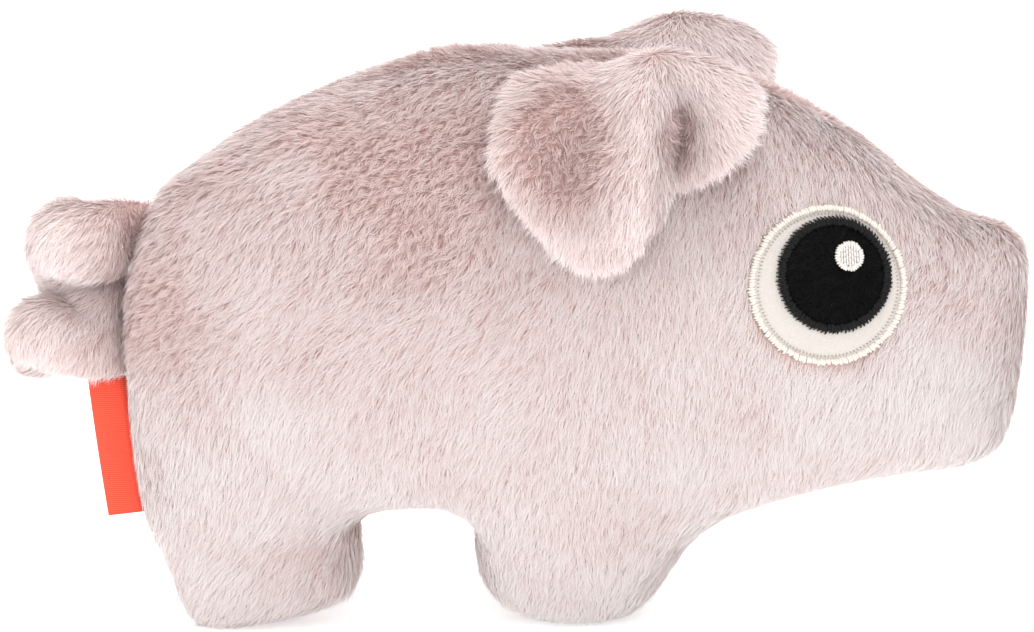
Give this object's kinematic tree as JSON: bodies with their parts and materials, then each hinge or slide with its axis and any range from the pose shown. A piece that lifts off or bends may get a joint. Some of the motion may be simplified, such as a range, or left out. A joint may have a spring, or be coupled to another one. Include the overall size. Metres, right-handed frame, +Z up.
{
  "type": "plush pig",
  "caption": "Small stuffed plush pig on two wide feet, with folded ears that lift, a springy curled tail, sewn round eyes and a bare ribbon label in the rear seam.",
  "frame": {"origin": "on the floor under the middle of the whole length, in the plane of the seam", "axes": "+X along the body from tail to snout, +Z up, the pig's right side faces -Y"},
  "size_m": [0.1696, 0.0686, 0.0983],
  "materials": {
    "plush": "short dusty-pink plush pile",
    "ear_plush": "short dusty-pink plush pile, a little paler at the tips",
    "fibre": "loose white polyester fibre",
    "ribbon": "orange-red woven satin ribbon, bare",
    "white_felt": "off-white short-nap fabric",
    "cream_thread": "cream satin stitch",
    "black_felt": "black short-nap fabric",
    "charcoal_thread": "charcoal satin stitch",
    "white_thread": "white satin stitch"
  },
  "bodies": {
    "body": {"right_side_panel": "plush", "left_side_panel": "plush", "torso_filling": "fibre", "head_filling": "fibre", "front_foot_filling": "fibre", "hind_foot_filling": "fibre", "right_eye_white": "white_felt", "right_eye_border": "cream_thread", "right_pupil": "black_felt", "right_pupil_border": "charcoal_thread", "right_eye_highlight": "white_thread", "left_eye_white": "white_felt", "left_eye_border": "cream_thread", "left_pupil": "black_felt", "left_pupil_border": "charcoal_thread", "left_eye_highlight": "white_thread"},
    "right_ear": {"right_ear_outer": "ear_plush", "right_ear_lining": "ear_plush"},
    "left_ear": {"left_ear_outer": "ear_plush", "left_ear_lining": "ear_plush"},
    "tail": {"tail_sleeve": "plush", "tail_filling": "fibre"},
    "label": {"seam_label": "ribbon"}
  },
  "joints": [
    {"name": "right_ear_lift", "type": "hinge", "parent": "body", "child": "right_ear", "pos_m": [0.02296, -0.0115, 0.0932], "axis": [-0.9804, 0, 0.1968], "range_deg": [0, 65]},
    {"name": "left_ear_lift", "type": "hinge", "parent": "body", "child": "left_ear", "pos_m": [0.02296, 0.0115, 0.0932], "axis": [0.9804, 0, -0.1968], "range_deg": [0, 65]},
    {"name": "tail_wag", "type": "hinge", "parent": "body", "child": "tail", "pos_m": [-0.06102, 0, 0.06722], "axis": [0.3895, 0, 0.921], "range_deg": [-25, 25], "stiffness_Nm_per_rad": 0.004},
    {"name": "label_fold", "type": "hinge", "parent": "body", "child": "label", "pos_m": [-0.06576, 0, 0.04268], "axis": [0.0944, 0, -0.9955], "range_deg": [-60, 60], "stiffness_Nm_per_rad": 0.0002}
  ]
}
